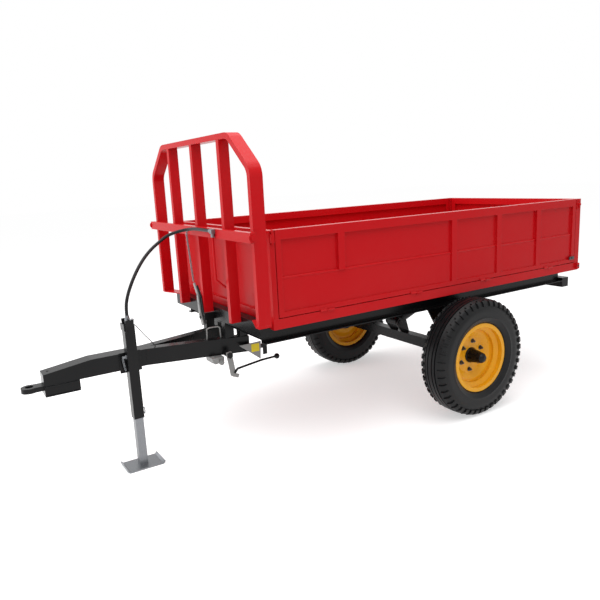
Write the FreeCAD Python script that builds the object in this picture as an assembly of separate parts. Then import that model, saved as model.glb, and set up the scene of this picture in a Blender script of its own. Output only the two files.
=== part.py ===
import FreeCAD, Part
import math
import os

# Farm trailer: a single-axle tipping trailer towed by a small tractor.
# Millimetres.  +X is the trailer's left side, +Y is to the rear, +Z is up.
# The origin is on the ground, under the middle of the overall length and width.

# ---- overall sizes -------------------------------------------------------
bed_length = 2580.0          # load bed, outside of front panel to outside of rear posts
bed_width = 1274.0           # load bed, outside of the side panels
bed_underside = 785.0        # height of the bed's sills above the ground
side_height = 516.0          # sills and side panels together
drawbar_reach = 1158.0       # from the bed's front to the tip of the tow eye
tail_reach = 27.0            # rear cross tube beyond the bed's rear

# ---- wheels --------------------------------------------------------------
tyre_radius = 378.0
tyre_width = 187.0
wheel_centre_x = 697.5       # half of the track
axle_from_rear = 1175.0      # axle ahead of the bed's rear
rim_flange_radius = 222.0
rim_seat_radius = 203.0
rim_well_radius = 178.0
rim_width = 140.0            # between the flanges' outer faces
rim_wall = 6.0
disc_inset = -18.0           # wheel disc's face, outward from the wheel's centre plane
hub_radius = 54.0
hub_flange_radius = 84.0
cap_radius = 50.0            # the hub's cap and the hole in the wheel's disc
cap_length = 118.0
stub_past_disc = 41.0        # how far the axle's stub reaches past the disc
stub_radius = 25.0
running_fit = 0.05           # radial clearance of a pin or shaft in its hole

# ---- chassis -------------------------------------------------------------
rail_outer_x = 545.0
rail_flange = 45.0
rail_wall = 6.0
rail_underside = 690.0
bed_clearance = 6.0          # between the chassis rails and the bed's sills
cross_depth = 45.0           # depth of the plain cross-members
cross_width = 50.0
rear_tube_size = 70.0
hinge_pin_radius = 15.0
hinge_height = 750.0
hinge_x = 300.0
hinge_lug_thickness = 12.0
hinge_boss_length = 40.0
hinge_boss_radius = 26.0
side_gap = 5.0               # sideways gap between a lug and what turns in it

# ---- axle ----------------------------------------------------------------
axle_size = 70.0
axle_half_length = 590.0
hanger_thickness = 10.0
hanger_top_length = 430.0
hanger_foot_length = 110.0

# ---- drawbar -------------------------------------------------------------
drawbar_width = 100.0
drawbar_underside = 560.0
drawbar_top = 655.0
nose_top = 622.0
nose_from_tip = 108.0        # nose's front face behind the eye's tip
nose_taper_length = 246.0
arms_start_from_tip = 650.0  # where the two arms part
arm_spread = 0.25            # sideways run of an arm for each unit of length
arm_width = 60.0
arm_length = 578.0
eye_radius = 42.0
eye_hole_radius = 21.0
eye_thickness = 26.0
eye_bar_width = 70.0
holder_length = 178.0
holder_depth = 33.0

# ---- headboard rack ------------------------------------------------------
rack_half_width = 705.0
rack_top = 1792.0
rack_shoulder = 1612.0       # height at which the posts lean in
rack_top_half_width = 484.0
rack_gap = 51.0              # rack's back face ahead of the bed's front
rack_depth = 70.0
rack_bar_width = 32.0
rack_bar_depth = 58.0        # the bars are shallower than the posts
rack_post_width = 30.0
rack_foot = 838.0
rack_bar_foot = 795.0
rack_bar_pitch = 366.0
rack_rail_height = 50.0
rack_rail_thickness = 30.0
rack_rail_centre = 1283.0
rack_rail_half_length = 728.0
rack_pin_radius = 14.0
rack_pin_length = 9.0
rack_beam_top = 825.0
rack_beam_height = 75.0
rack_beam_width = 54.0
rack_beam_half_length = 600.0

# ---- jack ----------------------------------------------------------------
jack_from_tip = 560.0
jack_sleeve_size = 56.0
jack_sleeve_wall = 4.0
jack_leg_gap = 1.0
jack_leg_wall = 4.0
jack_sleeve_top = 815.0
jack_sleeve_foot = 285.0
jack_leg_top = 560.0
jack_plate_length = 190.0
jack_plate_width = 145.0
jack_plate_thickness = 8.0
jack_lip = 14.0

# ---- hydraulic hose ------------------------------------------------------
hose_diameter = 18.0
hose_gap = 1.5               # between the hose and the rack's rail
coupling_radius = 15.0
coupling_height = 42.0       # quick coupling standing on the jack's lid
union_x = 312.0              # where the hose ends on the rack's rail
union_size = 24.0
pipe_diameter = 12.0

# ---- bed -----------------------------------------------------------------
sill_height = 55.0
sill_width = 50.0
wall_frame = 40.0            # thickness of the panels' frames
wall_sheet = 3.0
wall_recess = 16.0           # sheet behind the outside of its frame
lower_recess = 10.0          # the same in the lower part of the sides
crease_height = 210.0        # step in the sides' sheet, above the floor
top_rail_height = 50.0
lower_rail_height = 26.0
floor_thickness = 4.0
floor_bearer_width = 40.0
corner_post = 30.0           # front corner posts, along the bed
rear_post = 50.0
panel_gap = 5.0              # round every panel that opens
rib_width = 44.0
end_stile = 32.0
bed_beam_width = 40.0
bed_beam_depth = 44.0
side_hinge_radius = 5.0
side_hinge_length = 90.0
gate_pin_radius = 9.0
gate_pin_drop = 16.0         # below the top of the side panels
gate_pin_reach = 24.0        # how far a pin enters the tailgate

# ---- tipping ram ---------------------------------------------------------
ram_base_height = 490.0
ram_base_ahead_of_axle = 48.0
ram_top_height = 738.0
ram_top_from_rear = 593.0
ram_barrel_radius = 45.0
ram_bore_radius = 36.0
ram_rod_radius = 22.0
ram_eye_radius = 32.0
ram_eye_width = 50.0
ram_base_width = 92.0        # the barrel's base eye is wider than the barrel
ram_pin_radius = 15.0
ram_lug_thickness = 12.0
ram_gland_length = 40.0
ram_rod_shows = 55.0         # rod between the gland and the eye when closed

# ---- places worked out from the sizes above --------------------------------
overall_length = drawbar_reach + bed_length + tail_reach
eye_tip = -overall_length / 2
bed_front = eye_tip + drawbar_reach
bed_rear = bed_front + bed_length
half_bed = bed_width / 2
axle_y = bed_rear - axle_from_rear
sill_top = bed_underside + sill_height
side_top = bed_underside + side_height
rail_top = bed_underside - bed_clearance
hinge_y = bed_rear + tail_reach - rear_tube_size / 2
rear_tube_top = hinge_height - hinge_boss_radius - 9.0
panel_foot = sill_top + panel_gap


def block(x0, x1, y0, y1, z0, z1):
    """A square-edged block between two corners."""
    return Part.makeBox(x1 - x0, y1 - y0, z1 - z0, FreeCAD.Vector(x0, y0, z0))


def rod_x(radius, x0, x1, y, z):
    """A round bar along X."""
    return Part.makeCylinder(radius, x1 - x0, FreeCAD.Vector(x0, y, z), FreeCAD.Vector(1, 0, 0))


def rod_z(radius, z0, z1, x, y):
    """A round bar along Z."""
    return Part.makeCylinder(radius, z1 - z0, FreeCAD.Vector(x, y, z0))


def plate(points, direction):
    """A flat outline pushed along a direction."""
    corners = [FreeCAD.Vector(*p) for p in points]
    wire = Part.makePolygon(corners + corners[:1])
    return Part.Face(wire).extrude(FreeCAD.Vector(*direction))


def fuse(shapes):
    """Join touching shapes into one solid."""
    return shapes[0].multiFuse(shapes[1:]).removeSplitter()


def mirrored(shape):
    """The same shape on the other side of the trailer."""
    return shape.mirror(FreeCAD.Vector(0, 0, 0), FreeCAD.Vector(1, 0, 0))


def both_sides(shape):
    """A left and a right copy that don't touch, as one node."""
    return Part.makeCompound([shape, mirrored(shape)])


def save(name, shape):
    """Write one piece."""
    os.makedirs("parts", exist_ok=True)
    shape.exportStep("parts/" + name + ".step")


# ---- drawbar ---------------------------------------------------------------
def drawbar_nose():
    """Box-section nose, shallower towards the eye."""
    front = eye_tip + nose_from_tip
    back = eye_tip + arms_start_from_tip
    half = drawbar_width / 2
    outline = [
        (-half, front, drawbar_underside),
        (-half, back, drawbar_underside),
        (-half, back, drawbar_top),
        (-half, front + nose_taper_length, drawbar_top),
        (-half, front, nose_top),
    ]
    return plate(outline, (drawbar_width, 0, 0))


def drawbar_arm():
    """Left arm of the drawbar, running back under the chassis."""
    start = eye_tip + arms_start_from_tip
    end = start + arm_length
    shift = arm_length * arm_spread
    outer = drawbar_width / 2
    inner = 0.15
    outline = [
        (inner, start, drawbar_underside),
        (outer, start, drawbar_underside),
        (outer + shift, end, drawbar_underside),
        (outer + shift - arm_width, end, drawbar_underside),
        (inner, start + (arm_width - outer + inner) / arm_spread, drawbar_underside),
    ]
    return plate(outline, (0, 0, drawbar_top - drawbar_underside))


def tow_eye():
    """Flat eye with a round end, running back under the nose."""
    centre = eye_tip + eye_radius
    back = eye_tip + nose_from_tip + holder_length
    top = drawbar_underside
    low = top - eye_thickness
    ring = rod_z(eye_radius, low, top, 0, centre)
    bar = block(-eye_bar_width / 2, eye_bar_width / 2, centre, back, low, top)
    hole = rod_z(eye_hole_radius, low - 1, top + 1, 0, centre)
    return fuse([ring, bar]).cut(hole)


def eye_holder():
    """Clamp plate under the eye with a cheek at each side."""
    front = eye_tip + nose_from_tip
    back = front + holder_length
    low = drawbar_underside - eye_thickness
    half = drawbar_width / 2
    base = block(-half, half, front, back, low - holder_depth, low)
    cheek = block(eye_bar_width / 2, half, front, back, low, drawbar_underside)
    return fuse([base, cheek, mirrored(cheek)])


# ---- chassis ---------------------------------------------------------------
def chassis_rail():
    """Left channel rail, open to the outside."""
    front = beam_back()
    back = bed_rear + tail_reach - rear_tube_size
    inner = rail_outer_x - rail_flange
    web = block(inner, rail_outer_x, front, back, rail_underside, rail_top)
    hollow = block(inner + rail_wall, rail_outer_x + 1, front - 1, back + 1,
                   rail_underside + rail_wall, rail_top - rail_wall)
    return web.cut(hollow)


def crossmember(y):
    """Box cross-member between the rails, below the bed's long beams."""
    inner = rail_outer_x - rail_flange
    return block(-inner, inner, y - cross_width / 2, y + cross_width / 2,
                 rail_underside, rail_underside + cross_depth)


def crossmembers():
    """Four plain cross-members; the drawbar's arms end under the first."""
    first = eye_tip + arms_start_from_tip + arm_length - cross_width / 2
    places = (first, axle_y - 860.0, axle_y - 420.0, axle_y + 860.0)
    return Part.makeCompound([crossmember(y) for y in places])


def arm_middle(y):
    """How far out the middle of the left arm is at a place along it."""
    start = eye_tip + arms_start_from_tip
    return (drawbar_width - arm_width) / 2 + (y - start) * arm_spread


def arm_spacers():
    """Blocks between the drawbar's arms and the two front beams of the chassis."""
    end = eye_tip + arms_start_from_tip + arm_length
    spans = (
        (beam_front(), beam_back(), rack_beam_top - rack_beam_height),
        (end - cross_width, end, rail_underside),
    )
    half = arm_width / 2 - 6
    spacers = []
    for y0, y1, top in spans:
        x = arm_middle((y0 + y1) / 2)
        left = block(x - half, x + half, y0, y1, drawbar_top, top)
        spacers.append(left)
        spacers.append(mirrored(left))
    return Part.makeCompound(spacers)


def rear_cross_tube():
    """Square tube under the rails' rear ends that carries the bed's hinge."""
    front = bed_rear + tail_reach - rear_tube_size
    back = bed_rear + tail_reach
    return block(-rail_outer_x, rail_outer_x, front, back,
                 rear_tube_top - rear_tube_size, rear_tube_top)


def hinge_lug_places():
    """Inner faces of the two lugs of the left hinge."""
    half = hinge_boss_length / 2 + side_gap
    return hinge_x - half - hinge_lug_thickness, hinge_x + half


def hinge_lugs():
    """Two pairs of lugs on the rear cross tube."""
    lugs = []
    radius = hinge_boss_radius - 2
    for x in hinge_lug_places():
        cheek = block(x, x + hinge_lug_thickness, hinge_y - radius, hinge_y + radius,
                      rear_tube_top, hinge_height)
        nose = rod_x(radius, x, x + hinge_lug_thickness, hinge_y, hinge_height)
        hole = rod_x(hinge_pin_radius, x - 1, x + hinge_lug_thickness + 1, hinge_y, hinge_height)
        lug = fuse([cheek, nose]).cut(hole)
        lugs.append(lug)
        lugs.append(mirrored(lug))
    return Part.makeCompound(lugs)


def tip_hinge_pins():
    """Fixed pins that the bed turns on."""
    low, high = hinge_lug_places()
    reach = 6.0
    pin = rod_x(hinge_pin_radius, low - reach, high + hinge_lug_thickness + reach,
                hinge_y, hinge_height)
    return both_sides(pin)


def rest_pads():
    """Rubber pads on the rails, under the bed's sills."""
    pads = []
    x0 = rail_outer_x - rail_flange + 5
    for y in (bed_front + 300.0, axle_y, bed_rear - 420.0):
        pad = block(x0, rail_outer_x - 5, y - 40, y + 40, rail_top, bed_underside - 0.3)
        pads.append(pad)
        pads.append(mirrored(pad))
    return Part.makeCompound(pads)


# ---- axle and wheels ---------------------------------------------------------
def axle_beam():
    """Square axle with a turned stub at each end."""
    half = axle_size / 2
    beam = block(-axle_half_length, axle_half_length, axle_y - half, axle_y + half,
                 tyre_radius - half, tyre_radius + half)
    reach = wheel_centre_x + disc_inset + stub_past_disc
    stub = rod_x(stub_radius, -reach, reach, axle_y, tyre_radius)
    return fuse([beam, stub])


def axle_hangers():
    """Plates that carry the axle under the rails."""
    x = rail_outer_x - rail_flange + rail_wall
    low = tyre_radius + axle_size / 2
    top = hanger_top_length / 2
    foot = hanger_foot_length / 2
    outline = [
        (x, axle_y - foot, low),
        (x, axle_y + foot, low),
        (x, axle_y + top, rail_underside),
        (x, axle_y - top, rail_underside),
    ]
    left = plate(outline, (hanger_thickness, 0, 0))
    window = rod_x(60.0, x - 1, x + hanger_thickness + 1, axle_y, (low + rail_underside) / 2 + 40)
    return both_sides(left.cut(window))


def revolved(points, centre_x):
    """Turn an outline of (along, radius) pairs about the wheel's axis."""
    corners = [FreeCAD.Vector(centre_x + a, axle_y, tyre_radius + r) for a, r in points]
    face = Part.Face(Part.makePolygon(corners + corners[:1]))
    return face.revolve(FreeCAD.Vector(centre_x, axle_y, tyre_radius), FreeCAD.Vector(1, 0, 0), 360)


def tyre():
    """Left tyre with a rounded shoulder and a bead on the rim."""
    half = tyre_width / 2
    seat = rim_width / 2 - rim_wall
    side = [
        (seat, rim_seat_radius),
        (seat, rim_flange_radius + 4),
        (half - 14, rim_flange_radius + 22),
        (half, rim_flange_radius + 62),
        (half, tyre_radius - 70),
        (half - 8, tyre_radius - 38),
        (half - 24, tyre_radius - 10),
        (half - 46, tyre_radius - 1.5),
        (18, tyre_radius),
    ]
    other = [(-a, r) for a, r in reversed(side)]
    return revolved(side + other, wheel_centre_x)


def rim():
    """Left rim: two flanges, seats, a well and the dished disc."""
    half = rim_width / 2
    w = rim_wall
    outside = [
        (half, rim_flange_radius),
        (half - w, rim_flange_radius),
        (half - w, rim_seat_radius),
        (half - 34, rim_seat_radius),
        (half - 50, rim_well_radius),
        (-half + 50, rim_well_radius),
        (-half + 34, rim_seat_radius),
        (-half + w, rim_seat_radius),
        (-half + w, rim_flange_radius),
        (-half, rim_flange_radius),
        (-half, rim_seat_radius - w),
        (-half + 34 - 3, rim_seat_radius - w),
        (-half + 47, rim_well_radius - w),
        (-w, rim_well_radius - w),
        (-w, rim_well_radius - 24),
        (disc_inset - 6, 122),
        (disc_inset - 6, cap_radius),
        (disc_inset + 3, cap_radius),
        (disc_inset + 3, 118),
        (4, rim_well_radius - 24),
        (4, rim_well_radius - w),
        (half - 47, rim_well_radius - w),
        (half - 31, rim_seat_radius - w),
        (half, rim_seat_radius - w),
    ]
    return revolved(outside, wheel_centre_x)


def hub():
    """Left hub with its bearing bore, flange and tapered grease cap."""
    bore = stub_radius + running_fit
    end = disc_inset + cap_length
    bore_end = disc_inset + stub_past_disc + 4
    outline = [
        (-60, bore),
        (-60, hub_radius),
        (disc_inset - 18, hub_radius),
        (disc_inset - 18, hub_flange_radius),
        (disc_inset - 6, hub_flange_radius),
        (disc_inset - 6, cap_radius),
        (disc_inset + 9, cap_radius),
        (disc_inset + 13, cap_radius - 4),
        (end - 18, cap_radius * 0.64),
        (end - 6, cap_radius * 0.46),
        (end, cap_radius * 0.2),
        (end, 0),
        (bore_end, 0),
        (bore_end, bore),
    ]
    return revolved(outline, wheel_centre_x)


# ---- headboard rack ----------------------------------------------------------
def beam_front():
    """Front face of the front beam, against the backs of the rack's bars."""
    return rack_back() - rack_depth + rack_bar_depth


def beam_back():
    """Rear face of the front beam."""
    return beam_front() + rack_beam_width


def rack_back():
    return bed_front - rack_gap


def rounded_arch(half, top_half, shoulder, top, foot, radius, y):
    """Closed outline of the arch, with round bends, as a face."""
    corners = [(-half, foot), (-half, shoulder), (-top_half, top),
               (top_half, top), (half, shoulder), (half, foot)]
    edges = []
    last = FreeCAD.Vector(corners[0][0], y, corners[0][1])
    for i in range(1, 5):
        here = FreeCAD.Vector(corners[i][0], y, corners[i][1])
        before = FreeCAD.Vector(corners[i - 1][0], y, corners[i - 1][1]) - here
        after = FreeCAD.Vector(corners[i + 1][0], y, corners[i + 1][1]) - here
        before.normalize()
        after.normalize()
        half_angle = before.getAngle(after) / 2
        run = radius / math.tan(half_angle)
        start = here + before * run
        end = here + after * run
        bisector = before + after
        bisector.normalize()
        centre = here + bisector * (radius / math.sin(half_angle))
        middle = centre - bisector * radius
        edges.append(Part.LineSegment(last, start).toShape())
        edges.append(Part.Arc(start, middle, end).toShape())
        last = end
    foot_right = FreeCAD.Vector(corners[5][0], y, corners[5][1])
    foot_left = FreeCAD.Vector(corners[0][0], y, corners[0][1])
    edges.append(Part.LineSegment(last, foot_right).toShape())
    edges.append(Part.LineSegment(foot_right, foot_left).toShape())
    return Part.Face(Part.Wire(edges))


def rack_arch():
    """One flat bar bent into the headboard's arch."""
    w = rack_post_width
    front = rack_back() - rack_depth
    bend = 95.0
    lean = math.atan2(rack_top - rack_shoulder, rack_half_width - rack_top_half_width)
    outer = rounded_arch(rack_half_width, rack_top_half_width, rack_shoulder,
                         rack_top, rack_foot, bend, front)
    inner = rounded_arch(rack_half_width - w,
                         rack_top_half_width - w * math.tan(lean / 2),
                         rack_shoulder - w * math.tan((math.pi / 2 - lean) / 2),
                         rack_top - w, rack_foot - 1, bend - w, front)
    depth = FreeCAD.Vector(0, rack_depth, 0)
    return outer.extrude(depth).cut(inner.extrude(depth))


def rack_bars():
    """Three uprights inside the arch."""
    front = rack_back() - rack_depth
    top = rack_top - rack_post_width
    bars = []
    for i in (-1, 0, 1):
        x = i * rack_bar_pitch
        bars.append(block(x - rack_bar_width / 2, x + rack_bar_width / 2,
                          front, beam_front(), rack_bar_foot, top))
    return Part.makeCompound(bars)


def rack_rail():
    """Cross rail in front of the uprights with a round pin at each end."""
    face = rack_back() - rack_depth
    low = rack_rail_centre - rack_rail_height / 2
    rail = block(-rack_rail_half_length, rack_rail_half_length, face - rack_rail_thickness,
                 face, low, low + rack_rail_height)
    end = rack_rail_half_length + rack_pin_length
    pin = rod_x(rack_pin_radius, -end, end, face - rack_rail_thickness / 2, rack_rail_centre)
    return fuse([rail, pin])


def rack_beam():
    """Front beam of the chassis behind the bars' feet."""
    return block(-rack_beam_half_length, rack_beam_half_length, beam_front(), beam_back(),
                 rack_beam_top - rack_beam_height, rack_beam_top)


def rack_gussets():
    """Corner plates between the arch's feet and the front beam."""
    top = rack_beam_top
    outer = rack_half_width
    front = rack_back() - rack_depth
    inner = outer - 190.0
    outline = [
        (outer, front, top),
        (outer, rack_back(), top),
        (rack_beam_half_length, beam_back(), top),
        (inner, beam_back(), top),
        (inner, beam_front(), top),
        (outer - rack_post_width - 10, front, top),
    ]
    left = plate(outline, (0, 0, 5.0))
    foot = block(outer - rack_post_width, outer, front, rack_back(), top + 5.0, rack_foot)
    return both_sides(fuse([left, foot]))


# ---- jack --------------------------------------------------------------------
def jack_place():
    return drawbar_width / 2 + 6.0 + jack_sleeve_size / 2, eye_tip + jack_from_tip


def square_tube(x, y, size, wall, z0, z1):
    half = size / 2
    outer = block(x - half, x + half, y - half, y + half, z0, z1)
    half = half - wall
    return outer.cut(block(x - half, x + half, y - half, y + half, z0 - 1, z1 + 1))


def jack_sleeve():
    """Outer square tube of the jack, closed at the top."""
    x, y = jack_place()
    tube = square_tube(x, y, jack_sleeve_size, jack_sleeve_wall, jack_sleeve_foot, jack_sleeve_top)
    half = jack_sleeve_size / 2
    lid = block(x - half, x + half, y - half, y + half, jack_sleeve_top, jack_sleeve_top + 5)
    return fuse([tube, lid])


def jack_bracket():
    """Plate between the jack's sleeve and the drawbar's nose."""
    x, y = jack_place()
    inner = drawbar_width / 2
    outer = x - jack_sleeve_size / 2
    return block(inner, outer, y - 60, y + 60, drawbar_underside - 15, drawbar_top + 5)


def jack_leg():
    """Inner square tube with its foot plate."""
    x, y = jack_place()
    size = jack_sleeve_size - 2 * jack_sleeve_wall - 2 * jack_leg_gap
    thick = jack_plate_thickness
    tube = square_tube(x, y, size, jack_leg_wall, thick, jack_leg_top)
    half_x = jack_plate_width / 2
    half_y = jack_plate_length / 2
    outline = [
        (x - half_x, y - half_y, 0),
        (x - half_x, y + half_y, 0),
        (x - half_x, y + half_y + jack_lip, jack_lip),
        (x - half_x, y + half_y + jack_lip - thick * 0.6, jack_lip + thick * 0.8),
        (x - half_x, y + half_y - thick * 0.4, thick),
        (x - half_x, y - half_y + thick * 0.4, thick),
        (x - half_x, y - half_y - jack_lip + thick * 0.6, jack_lip + thick * 0.8),
        (x - half_x, y - half_y - jack_lip, jack_lip),
    ]
    return fuse([tube, plate(outline, (jack_plate_width, 0, 0))])


# ---- hydraulic hose ------------------------------------------------------------
def hose_plane():
    """Where the hose's middle runs along the front of the rack's rail."""
    face = rack_back() - rack_depth - rack_rail_thickness
    return face - hose_gap - hose_diameter / 2


def hose_points():
    """From the coupling on the jack, up and back, then along the rack's rail."""
    x, y = jack_place()
    low = jack_sleeve_top + 5.0 + coupling_height
    rail_y = hose_plane()
    rail_z = rack_rail_centre + 14.0
    return [
        (x, y, low),
        (x, y, low + 54),
        (x - 3, y + 14, low + 108),
        (x - 10, y + 38, low + 160),
        (x - 26, y + 71, low + 212),
        (x - 49, y + 110, low + 260),
        (x - 78, y + 155, low + 302),
        (x - 109, y + 208, low + 340),
        (x - 134, y + 268, low + 373),
        (-53, rail_y - 128, rail_z - 36),
        (-44, rail_y - 81, rail_z - 20),
        (-19, rail_y - 40, rail_z - 9),
        (20, rail_y - 12, rail_z - 3),
        (75, rail_y, rail_z + 1),
        (188, rail_y, rail_z),
        (union_x - union_size / 2, rail_y, rail_z),
    ]


def tube_along(points, diameter):
    """A round tube of straight runs joined by arcs, with its length and radii."""
    nodes = [FreeCAD.Vector(*p) for p in points]
    edges = []
    radii = []
    last = nodes[0]
    for i in range(1, len(nodes) - 1):
        back = nodes[i - 1] - nodes[i]
        ahead = nodes[i + 1] - nodes[i]
        run = 0.45 * min(back.Length, ahead.Length)
        back.normalize()
        ahead.normalize()
        half_turn = (math.pi - back.getAngle(ahead)) / 2
        radius = run / math.tan(half_turn)
        inward = back + ahead
        inward.normalize()
        centre = nodes[i] + inward * (radius / math.cos(half_turn))
        start = nodes[i] + back * run
        end = nodes[i] + ahead * run
        edges.append(Part.LineSegment(last, start).toShape())
        edges.append(Part.Arc(start, centre - inward * radius, end).toShape())
        radii.append(radius)
        last = end
    edges.append(Part.LineSegment(last, nodes[-1]).toShape())
    path = Part.Wire(edges)
    ring = Part.makeCircle(diameter / 2, nodes[0], nodes[1] - nodes[0])
    return path.makePipeShell([Part.Wire(ring)], True, False), path.Length, radii


def hydraulic_hose():
    tube, length, radii = tube_along(hose_points(), hose_diameter)
    section = math.pi * hose_diameter ** 2 / 4
    print("hose length %.0f mm" % length)
    print("hose arc radii, mm: " + ", ".join("%.0f" % r for r in radii))
    print("hose volume over section times length: %.4f" % (tube.Volume / section / length))
    return tube


def hose_fittings():
    """The coupling parked on the jack, and the union on the rail with its steel pipe."""
    x, y = jack_place()
    lid = jack_sleeve_top + 5.0
    coupling = rod_z(coupling_radius, lid, lid + coupling_height, x, y)
    rail_y = hose_plane()
    half = union_size / 2
    union_z = rack_rail_centre + 12.0
    face = rack_back() - rack_depth - rack_rail_thickness
    body = block(union_x - half, union_x + half, rail_y - half, face, union_z - half, union_z + half)
    beam_y = (beam_front() + beam_back()) / 2
    route = [
        (union_x, rail_y, union_z - half),
        (union_x, rail_y, union_z - half - 250),
        (union_x, beam_y, union_z - half - 360),
        (union_x, beam_y, rack_beam_top),
    ]
    pipe = tube_along(route, pipe_diameter)[0]
    return Part.makeCompound([coupling, fuse([body, pipe])])


# ---- bed ---------------------------------------------------------------------
def bed_floor():
    """Floor sheet inside the sills."""
    inner = half_bed - sill_width
    return block(-inner, inner, bed_front + sill_width, bed_rear - sill_width,
                 sill_top - floor_thickness, sill_top)


def bed_sills():
    """Long sills at the sides of the floor."""
    left = block(half_bed - sill_width, half_bed, bed_front, bed_rear, bed_underside, sill_top)
    return both_sides(left)


def bed_end_sills():
    """Front and rear sills between the long ones."""
    inner = half_bed - sill_width
    front = block(-inner, inner, bed_front, bed_front + sill_width, bed_underside, sill_top)
    rear = block(-inner, inner, bed_rear - sill_width, bed_rear, bed_underside, sill_top)
    return Part.makeCompound([front, rear])


def bed_bearers():
    """Cross-bearers under the floor."""
    inner = half_bed - sill_width
    top = sill_top - floor_thickness
    bearers = []
    count = 6
    pitch = (bed_length - 2 * sill_width) / (count + 1)
    for i in range(1, count + 1):
        y = bed_front + sill_width + pitch * i
        bearers.append(block(-inner, inner, y - floor_bearer_width / 2,
                             y + floor_bearer_width / 2, bed_underside + 3, top))
    return Part.makeCompound(bearers)


def bed_beams():
    """Two long beams under the bearers, ending in the hinge's bosses."""
    top = bed_underside + 3
    low = top - bed_beam_depth
    half = bed_beam_width / 2
    front = bed_front + sill_width + 5
    beam = block(hinge_x - half, hinge_x + half, front, hinge_y, low, top)
    boss = rod_x(hinge_boss_radius, hinge_x - hinge_boss_length / 2,
                 hinge_x + hinge_boss_length / 2, hinge_y, hinge_height)
    hole = rod_x(hinge_pin_radius + running_fit, hinge_x - 60, hinge_x + 60,
                 hinge_y, hinge_height)
    notch = block(hinge_x - 40, hinge_x + 40, bed_rear - sill_width, hinge_y + 60,
                  bed_underside, top + 1)
    return both_sides(fuse([beam, boss]).cut(notch).cut(hole))


def side_frame(y0, y1, z0, z1, x_out):
    """Frame of a drop side round its stepped sheet, with its outside at x_out."""
    x_in = x_out - wall_frame
    inner_y = (y0 + end_stile, y1 - end_stile)
    low = z0 + lower_rail_height
    high = z1 - top_rail_height
    crease = sill_top + crease_height
    back = x_out - wall_recess - wall_sheet
    front = x_out - lower_recess
    outer = block(x_in, x_out, y0, y1, z0, z1)
    hole = block(x_in - 1, x_out + 1, inner_y[0], inner_y[1], low, high)
    upper_sheet = block(back, back + wall_sheet, inner_y[0], inner_y[1], crease - wall_sheet, high)
    lower_sheet = block(front - wall_sheet, front, inner_y[0], inner_y[1], low, crease)
    ledge = block(back, front, inner_y[0], inner_y[1], crease - wall_sheet, crease)
    return fuse([outer.cut(hole), upper_sheet, lower_sheet, ledge])


def side_span():
    """Front and rear edges of a drop side."""
    return (bed_front + corner_post + panel_gap, bed_rear - rear_post - panel_gap)


def rib_places():
    """Middles of the side's four ribs."""
    pitch = bed_length / 6.05
    first = bed_front + 446.0
    return [first, first + 2 * pitch + 6, first + 3 * pitch - 10, first + 4 * pitch - 36]


def side_panel():
    """Left drop side with its ribs and the knuckles of its hinges."""
    y0, y1 = side_span()
    foot = panel_foot + lower_rail_height
    crease = sill_top + crease_height
    pieces = [side_frame(y0, y1, panel_foot, side_top, half_bed)]
    for y, low in zip(rib_places(), (crease, foot, foot, foot)):
        pieces.append(block(half_bed - wall_recess, half_bed, y - rib_width / 2,
                            y + rib_width / 2, low, side_top - top_rail_height))
    axis_x, axis_z = side_hinge_axis()
    for y in side_hinge_places():
        pieces.append(knuckle_y(axis_x, axis_z, y - side_hinge_length / 2,
                                y - side_gap / 2, half_bed, panel_foot))
    return fuse(pieces)


def side_hinge_axis():
    """The drop sides turn just outside their lower edge."""
    return half_bed + side_hinge_radius, sill_top + panel_gap / 2


def side_hinge_places():
    """Middles of the hinges along a drop side."""
    y0, y1 = side_span()
    span = y1 - y0
    return [y0 + span * share for share in (0.12, 0.38, 0.62, 0.88)]


def knuckle_y(x, z, y0, y1, root_x, root_z):
    """Half of a side hinge: a barrel with a leaf on the panel above it."""
    barrel = Part.makeCylinder(side_hinge_radius, y1 - y0, FreeCAD.Vector(x, y0, z),
                               FreeCAD.Vector(0, 1, 0))
    hole = Part.makeCylinder(side_hinge_radius / 2, y1 - y0 + 2, FreeCAD.Vector(x, y0 - 1, z),
                             FreeCAD.Vector(0, 1, 0))
    leaf = block(root_x, x, y0, y1, z, root_z + 10)
    return fuse([barrel.cut(hole), leaf.cut(hole)])


def sill_hinge_leaves():
    """Lower halves of the side hinges, on the sills, with their pins."""
    axis_x, axis_z = side_hinge_axis()
    leaves = []
    for y in side_hinge_places():
        y0 = y + side_gap / 2
        y1 = y + side_hinge_length / 2
        barrel = Part.makeCylinder(side_hinge_radius, y1 - y0, FreeCAD.Vector(axis_x, y0, axis_z),
                                   FreeCAD.Vector(0, 1, 0))
        leaf = block(half_bed, axis_x, y0, y1, sill_top - 10, axis_z)
        pin = Part.makeCylinder(side_hinge_radius / 2 - running_fit, side_hinge_length,
                                FreeCAD.Vector(axis_x, y - side_hinge_length / 2, axis_z),
                                FreeCAD.Vector(0, 1, 0))
        half = fuse([barrel, leaf, pin])
        leaves.append(half)
        leaves.append(mirrored(half))
    return Part.makeCompound(leaves)


def front_panel():
    """Fixed front panel with its corner posts."""
    y0 = bed_front
    y1 = bed_front + corner_post
    outer = block(-half_bed, half_bed, y0, y1, sill_top, side_top)
    inner = half_bed - wall_frame
    hole = block(-inner, inner, y0 - 1, y1 + 1, sill_top + lower_rail_height,
                 side_top - top_rail_height)
    sheet = block(-inner, inner, y0 + wall_recess, y0 + wall_recess + wall_sheet,
                  sill_top + lower_rail_height, side_top - top_rail_height)
    return fuse([outer.cut(hole), sheet])


def gate_axis():
    """The tailgate hangs on pins in the ends of its top rail."""
    return bed_rear - wall_frame / 2, side_top - gate_pin_drop


def rear_posts():
    """Rear corner posts with the pins that hold the tailgate."""
    inner = half_bed - rear_post
    post = block(inner, half_bed, bed_rear - rear_post, bed_rear, sill_top, side_top)
    y, z = gate_axis()
    pin = rod_x(gate_pin_radius, inner - panel_gap - gate_pin_reach, half_bed + 7, y, z)
    return both_sides(fuse([post, pin]))


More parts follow.
